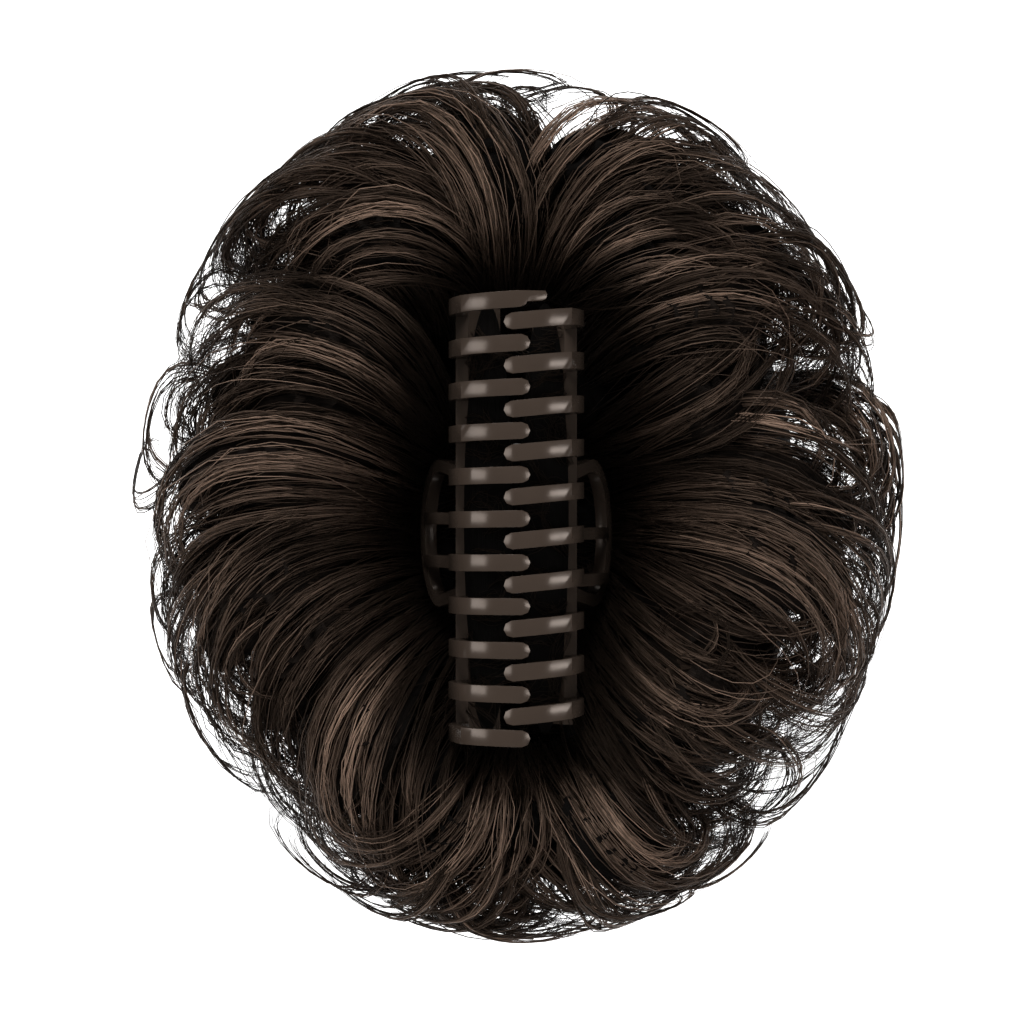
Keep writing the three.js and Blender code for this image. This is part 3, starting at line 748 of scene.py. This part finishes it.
def strand_mesh(name, batches, rng, width):
    """Closed tapering three-sided tubes along the strands, with how lit each point is."""
    points, shades, faces, base = [], [], [], 0
    for line, lit in batches:
        count, rings = line.shape[:2]
        along = np.gradient(line, axis=1)
        along /= np.linalg.norm(along, axis=2, keepdims=True) + 1e-9
        side = np.cross(along, np.array([0.0, 0.0, 1.0]))
        side /= np.linalg.norm(side, axis=2, keepdims=True) + 1e-6
        top = np.cross(side, along)
        taper = 1 - 0.72 * np.linspace(0, 1, rings) ** 3
        thick = rng.uniform(0.8, 1.2, count)[:, None] * taper[None, :] * width / MM / 2
        ring = []
        for angle in (90, 210, 330):
            angle = math.radians(angle)
            ring.append(line + (side * math.cos(angle) + top * math.sin(angle)) * thick[..., None])
        points.append(np.stack(ring, axis=2).reshape(-1, 3))
        shades.append(np.repeat(lit[:, :, None], 3, axis=2).ravel())
        start = base + (np.arange(count) * rings * 3)[:, None, None]
        step = (np.arange(rings - 1) * 3)[None, :, None]
        a, b = np.arange(3), (np.arange(3) + 1) % 3
        corners = (a, b, b + 3, a + 3)
        low, right_low, right_high, high = [(start + step + corner).ravel() for corner in corners]
        faces.append(np.stack([low, right_high, right_low], axis=1))
        faces.append(np.stack([low, high, right_high], axis=1))
        first = start.ravel()
        last = first + (rings - 1) * 3
        faces.append(np.stack([first, first + 1, first + 2], axis=1))
        faces.append(np.stack([last, last + 2, last + 1], axis=1))
        base += count * rings * 3
    points = np.concatenate(points) * MM
    faces = np.concatenate(faces).astype(np.int32)
    mesh = bpy.data.meshes.new(name)
    mesh.vertices.add(len(points))
    mesh.vertices.foreach_set("co", points.astype(np.float32).ravel())
    mesh.loops.add(faces.size)
    mesh.loops.foreach_set("vertex_index", faces.ravel())
    mesh.polygons.add(len(faces))
    mesh.polygons.foreach_set("loop_start", np.arange(0, faces.size, 3, dtype=np.int32))
    mesh.update(calc_edges=True)
    lit = mesh.attributes.new("lit", "FLOAT", "POINT")
    lit.data.foreach_set("value", np.concatenate(shades).astype(np.float32))
    mesh.shade_smooth()
    obj = bpy.data.objects.new(name, mesh)
    bpy.context.scene.collection.objects.link(obj)
    return obj


def finish_piece(obj, material, body):
    """Gives a piece its material, and sets it on its body."""
    obj.data.materials.clear()
    obj.data.materials.append(material)
    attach(obj, body)


HALVES = (
    ("left", -1, LEFT_LOCKS, "left_half"),
    ("right", 1, RIGHT_LOCKS, "right_half"),
)


# Operators


class MakeJaws(bpy.types.Operator):
    """Makes the two moulded jaws of the claw clip"""

    bl_idname = "hair_bun.make_jaws"
    bl_label = "Make the jaws"

    def execute(self, context):
        settings = context.scene.hair_bun
        plastic = shared_material("moulded plastic", plastic_material, settings)
        for side, _, _, body in HALVES:
            jaw = moulded_copy(f"jaw_{side}", f"moulded_jaw_{side}", settings.edge_round)
            finish_piece(jaw, plastic, body)
        return {"FINISHED"}


class MakeHinge(bpy.types.Operator):
    """Makes the hinge pin and the torsion spring round it"""

    bl_idname = "hair_bun.make_hinge"
    bl_label = "Make the hinge"

    def execute(self, context):
        steel = shared_material("hinge steel", steel_material, context.scene.hair_bun)
        pin = moulded_copy("hinge_pin", "steel_pin", 0.15 * MM)
        finish_piece(pin, steel, "left_half")
        spring = moulded_copy("hinge_spring", "steel_spring", 0)
        only(spring)
        bpy.ops.object.shade_smooth()
        finish_piece(spring, steel, "left_half")
        return {"FINISHED"}


class MakeLocks(bpy.types.Operator):
    """Makes the bodies of the locks and the bulk that they lie round"""

    bl_idname = "hair_bun.make_locks"
    bl_label = "Make the locks"

    def execute(self, context):
        hair = shared_material("lock body", lock_material, context.scene.hair_bun)
        for side, sign, rows, body in HALVES:
            bodies = [core_body(f"core_{side}", sign)]
            for i, lock in enumerate(lock_rows(rows, sign)):
                if lock["width"] > THIN_LOCK:
                    bodies.append(lock_body(f"lock_{side}_{i}", lock))
            for i, lock in enumerate(under_rows(sign)):
                bodies.append(lock_body(f"under_lock_{side}_{i}", lock, 0.75, 22, 22))
            piece = joined(bodies, f"lock_bodies_{side}")
            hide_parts(f"hair_{side}")
            finish_piece(piece, hair, body)
        return {"FINISHED"}


class MakeStrands(bpy.types.Operator):
    """Makes the loose strands that cover the locks on the side of the teeth"""

    bl_idname = "hair_bun.make_strands"
    bl_label = "Make the strands"

    def execute(self, context):
        settings = context.scene.hair_bun
        hair = shared_material("strand of hair", strand_material, settings)
        for side, sign, rows, body in HALVES:
            locks = list(lock_rows(rows, sign))
            if sign > 0:
                locks += lock_rows(RIGHT_FILL, sign)
            ends = {"top": [k for k in locks if k["y"] > 8], "bottom": [k for k in locks if k["y"] <= 8]}
            for end, chosen in ends.items():
                rng = np.random.default_rng(100 + sign * 10 + len(end))
                batches = [
                    strands_on(lock, int(settings.strands_per_lock * lock["width"]), rng)
                    for lock in chosen
                ]
                batches += [
                    strands_on(lock, 16, rng, 12, (-0.9, 0.4), 0.2, (0.75, 1.1))
                    for lock in chosen
                ]
                batches += [
                    strands_on(band, 26, rng, 14, (-1, 1.1), 0.08, (0.85, 1.15), 50)
                    for lock in chosen
                    for band in cross_bands(lock, 2, rng)
                ]
                piece = strand_mesh(f"strands_{side}_{end}", batches, rng, settings.strand_width)
                finish_piece(piece, hair, body)
        return {"FINISHED"}


class MakeCurls(bpy.types.Operator):
    """Makes the small curls at the tips of the locks and the single loose hairs"""

    bl_idname = "hair_bun.make_curls"
    bl_label = "Make the curls"

    def execute(self, context):
        settings = context.scene.hair_bun
        hair = shared_material("strand of hair", strand_material, settings)
        for side, sign, rows, body in HALVES:
            rng = np.random.default_rng(200 + sign)
            locks = list(lock_rows(rows, sign))
            curls = [
                strands_on(curl, 14, rng, 13, (-1, 1), 0.1, (0.75, 1.15), 12)
                for lock in locks
                for curl in tip_curls(lock, 6, rng)
            ]
            piece = strand_mesh(f"tip_curls_{side}", curls, rng, settings.strand_width * 0.9)
            finish_piece(piece, hair, body)
            loose = [
                strands_on(wide, 12, rng, 14, (0.9, 1.5), 1, (0.8, 1.3), 60)
                for wide in [dict(lock, width=lock["width"] * 1.25) for lock in locks]
            ]
            piece = strand_mesh(f"flyaways_{side}", loose, rng, settings.flyaway_width)
            finish_piece(piece, hair, body)
        return {"FINISHED"}


class MakeInnerHair(bpy.types.Operator):
    """Makes the dark hair inside the claw, on the floor of each jaw"""

    bl_idname = "hair_bun.make_inner_hair"
    bl_label = "Make the hair inside the claw"

    def execute(self, context):
        settings = context.scene.hair_bun
        strand = shared_material("strand of hair", strand_material, settings)
        hair = shared_material("lock body", lock_material, settings)
        for side, sign, _, body in HALVES:
            pad = inner_pad(f"inner_pad_{side}", sign)
            finish_piece(pad, hair, body)
            rng = np.random.default_rng(400 + sign)
            wisps = [
                strands_on(row, 9, rng, 8, (-1, 1), 0.3, (0.7, 1.2), 30)
                for row in inner_rows(sign, rng)
            ]
            piece = strand_mesh(f"inner_wisps_{side}", wisps, rng, settings.flyaway_width)
            finish_piece(piece, strand, body)
        return {"FINISHED"}


class MakeUnderside(bpy.types.Operator):
    """Makes the strands of the side that is worn outward, and the curls that close its middle"""

    bl_idname = "hair_bun.make_underside"
    bl_label = "Make the underside"

    def execute(self, context):
        settings = context.scene.hair_bun
        strand = shared_material("strand of hair", strand_material, settings)
        hair = shared_material("lock body", lock_material, settings)
        for side, sign, _, body in HALVES:
            rng = np.random.default_rng(300 + sign)
            batches = [
                strands_on(lock, 60, rng, 14, (-1.15, -0.2), 0.08, (0.85, 1.1))
                for lock in under_rows(sign)
            ]
            piece = strand_mesh(f"strands_{side}_under", batches, rng, settings.strand_width * 1.2)
            finish_piece(piece, strand, body)
            curls = [
                lock_body(f"gap_curl_{side}_{i}", lock, 0.95, 20, 20)
                for i, lock in enumerate(gap_rows(sign))
            ]
            fill = joined(curls, f"gap_curls_{side}")
            finish_piece(fill, hair, body)
            batches = [
                strands_on(lock, 36, rng, 12, (-1.15, 1.1), 0.1, (0.9, 1.1))
                for lock in gap_rows(sign)
            ]
            cover = strand_mesh(f"strands_{side}_gap", batches, rng, settings.strand_width * 1.2)
            finish_piece(cover, strand, body)
            for soft in (fill, cover):
                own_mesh(soft)
        return {"FINISHED"}


class MakeStage(bpy.types.Operator):
    """Makes the floor, the soft lights and the camera straight above"""

    bl_idname = "hair_bun.make_stage"
    bl_label = "Make the stage"

    def execute(self, context):
        bpy.ops.object.select_all(action="DESELECT")
        bpy.ops.mesh.primitive_plane_add(size=6, location=(0, 0, 0))
        floor = context.object
        floor.name = "floor"
        paper, shader = new_material("white paper")
        shader.inputs["Base Color"].default_value = (0.9, 0.9, 0.9, 1)
        shader.inputs["Roughness"].default_value = 0.9
        shader.inputs["Emission Color"].default_value = (1, 1, 1, 1)
        shader.inputs["Emission Strength"].default_value = 0.9
        floor.data.materials.append(paper)
        lights = (
            ("far_end", (-0.1, 0.75, 0.72), (0.6, 0.35), 10.5),
            ("near_end", (0.1, -0.75, 0.7), (0.6, 0.35), 4.2),
            ("left_side", (-0.75, 0.05, 0.7), (0.3, 0.6), 3.1),
            ("right_side", (0.8, 0.0, 0.62), (0.16, 0.6), 2.9),
        )
        for name, place, size, power in lights:
            data = bpy.data.lights.new(name, "AREA")
            data.shape = "RECTANGLE"
            data.size, data.size_y = size
            data.energy = power
            light = bpy.data.objects.new(name, data)
            context.scene.collection.objects.link(light)
            light.location = place
            aim = np.array([0, 0, 0.03]) - np.array(place)
            flat = math.hypot(aim[0], aim[1])
            around = math.atan2(aim[1], aim[0]) - math.pi / 2
            light.rotation_euler = (math.atan2(flat, -aim[2]), 0, around)
        world = bpy.data.worlds.new("soft room")
        world.use_nodes = True
        world.node_tree.nodes["Background"].inputs["Color"].default_value = (1, 1, 1, 1)
        world.node_tree.nodes["Background"].inputs["Strength"].default_value = 0.08
        context.scene.world = world
        context.scene.view_settings.view_transform = "Standard"
        view = bpy.data.cameras.new("camera")
        view.lens = 117.6
        view.sensor_width = 36
        camera = bpy.data.objects.new("camera", view)
        context.scene.collection.objects.link(camera)
        camera.location = ((CLIP_X - 0.8) * MM, (CLIP_Y + 1.2) * MM, 0.66)
        context.scene.camera = camera
        return {"FINISHED"}


class HairBunPanel(bpy.types.Panel):
    """Lists the steps that build the hair bun"""

    bl_idname = "VIEW3D_PT_hair_bun"
    bl_label = "Hair bun"
    bl_space_type = "VIEW_3D"
    bl_region_type = "UI"
    bl_category = "Hair bun"

    def draw(self, context):
        settings = context.scene.hair_bun
        for name in HairBunSettings.__annotations__:
            self.layout.prop(settings, name)
        for step in STEPS:
            self.layout.operator(step.bl_idname)


STEPS = (
    MakeJaws, MakeHinge, MakeLocks, MakeStrands, MakeCurls, MakeInnerHair, MakeUnderside, MakeStage,
)
CLASSES = (HairBunSettings, *STEPS, HairBunPanel)


def register():
    for cls in CLASSES:
        bpy.utils.register_class(cls)
    bpy.types.Scene.hair_bun = bpy.props.PointerProperty(type=HairBunSettings)


def unregister():
    del bpy.types.Scene.hair_bun
    for cls in reversed(CLASSES):
        bpy.utils.unregister_class(cls)


def main():
    """Builds every piece in order."""
    register()
    bpy.ops.hair_bun.make_jaws()
    bpy.ops.hair_bun.make_hinge()
    bpy.ops.hair_bun.make_locks()
    bpy.ops.hair_bun.make_strands()
    bpy.ops.hair_bun.make_curls()
    bpy.ops.hair_bun.make_inner_hair()
    bpy.ops.hair_bun.make_underside()
    bpy.ops.hair_bun.make_stage()


if __name__ == "__main__":
    main()
